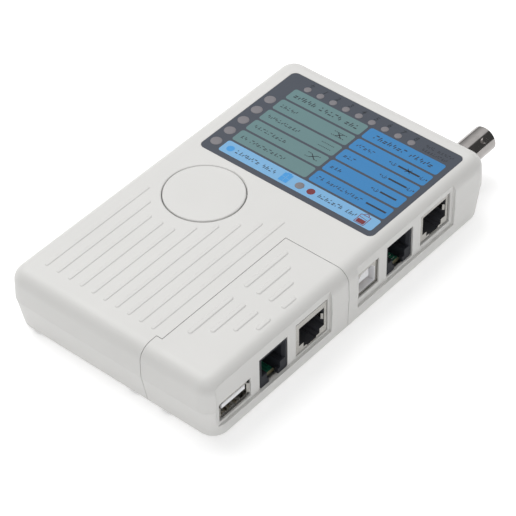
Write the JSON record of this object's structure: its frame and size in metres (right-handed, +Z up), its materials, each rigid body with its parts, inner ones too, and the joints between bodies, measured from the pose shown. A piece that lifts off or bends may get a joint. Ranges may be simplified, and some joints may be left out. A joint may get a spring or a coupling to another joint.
{
  "type": "network cable tester",
  "caption": "Hand-held network cable tester: main unit with printed lamp panel, round test button and side sockets, and a remote unit that slides off its corner.",
  "frame": {"origin": "centre of the main case's outline, on the flat face that the tester rests on", "axes": "+X towards the side sockets, +Y along the length towards the coaxial socket, +Z up through the panel"},
  "size_m": [0.0866, 0.161, 0.0258],
  "materials": {
    "case_plastic": "fine satin moulded ABS, slightly warm white",
    "button_plastic": "satin moulded ABS, polished rim",
    "panel_print": "printed polycarbonate overlay, slate grey with coloured fields",
    "window_film": "translucent grey-mauve window in the overlay",
    "led_epoxy": "diffused epoxy, unlit",
    "lead_tinned": "tinned lead frame",
    "board_green": "solder mask over glass-epoxy laminate",
    "moulded_black": "moulded thermoset, matt",
    "switch_plunger": "moulded nylon",
    "crystal_can": "drawn can",
    "capacitor_sleeve": "shrink sleeve",
    "resistor_body": "lacquered body",
    "jack_black": "moulded PBT, black",
    "jack_grey": "moulded PBT, dark grey",
    "shield_nickel": "bright nickel-plated sheet, faintly brushed",
    "contact_gold": "gold-flashed spring contact",
    "usb_white": "moulded PBT, white",
    "bnc_nickel": "turned, bright nickel plate",
    "bnc_insulator": "PTFE",
    "bnc_block": "moulded PBT",
    "battery_wrap": "lacquered tinplate can, plain",
    "battery_cells": null,
    "battery_terminal": "nickel-plated",
    "lead_red": "PVC insulation",
    "lead_black": "PVC insulation",
    "screw_steel": "zinc-plated"
  },
  "bodies": {
    "main_unit": {"battery_case": "battery_wrap", "battery_cells": "battery_cells", "battery_lead_black": "lead_black", "battery_lead_red": "lead_red", "battery_led": "led_epoxy", "battery_snap": "moulded_black", "battery_studs": "battery_terminal", "bnc_barrel": "bnc_nickel", "bnc_block": "bnc_block", "bnc_centre_contact": "contact_gold", "bnc_insulator": "bnc_insulator", "board_header": "moulded_black", "board_socket": "moulded_black", "capacitors": "capacitor_sleeve", "chip_leads": "lead_tinned", "chip_packages": "moulded_black", "crystal_can": "crystal_can", "display_board": "board_green", "display_board_screws": "screw_steel", "header_pins": "lead_tinned", "led_legs": "lead_tinned", "main_board": "board_green", "main_board_screws": "screw_steel", "main_case_screws": "screw_steel", "main_lower_shell": "case_plastic", "main_rj11_contacts": "contact_gold", "main_rj11_housing": "jack_grey", "main_rj45_contacts": "contact_gold", "main_rj45_housing": "jack_black", "main_rj45_shield": "shield_nickel", "main_upper_shell": "case_plastic", "panel_label": "panel_print", "panel_windows": "window_film", "pin_leds": "led_epoxy", "resistors": "resistor_body", "status_leds": "led_epoxy", "switch_body": "moulded_black", "usb_b_contacts": "contact_gold", "usb_b_insulator": "usb_white", "usb_b_shell": "shield_nickel"},
    "test_button": {"button_cap": "button_plastic", "switch_plunger": "switch_plunger"},
    "battery_door": {"battery_door": "case_plastic"},
    "remote_unit": {"remote_board": "board_green", "remote_case_screws": "screw_steel", "remote_diodes": "moulded_black", "remote_lower_shell": "case_plastic", "remote_rj11_contacts": "contact_gold", "remote_rj11_housing": "jack_grey", "remote_rj45_contacts": "contact_gold", "remote_rj45_housing": "jack_black", "remote_rj45_shield": "shield_nickel", "remote_upper_shell": "case_plastic", "usb_a_contacts": "contact_gold", "usb_a_shell": "shield_nickel", "usb_a_tongue": "usb_white"}
  },
  "joints": [
    {"name": "test_button_press", "type": "slide", "parent": "main_unit", "child": "test_button", "axis": [0, 0, -1], "range_m": [0, 0.0008], "stiffness_N_per_m": 1500, "springref_m": -0.0003},
    {"name": "battery_door_hinge", "type": "hinge", "parent": "main_unit", "child": "battery_door", "pos_m": [-0.0377, -0.04805, 0.0001], "axis": [0, 1, 0], "range_deg": [0, 75]},
    {"name": "remote_unit_slide", "type": "slide", "parent": "main_unit", "child": "remote_unit", "axis": [0, -1, 0], "range_m": [0, 0.075]}
  ]
}
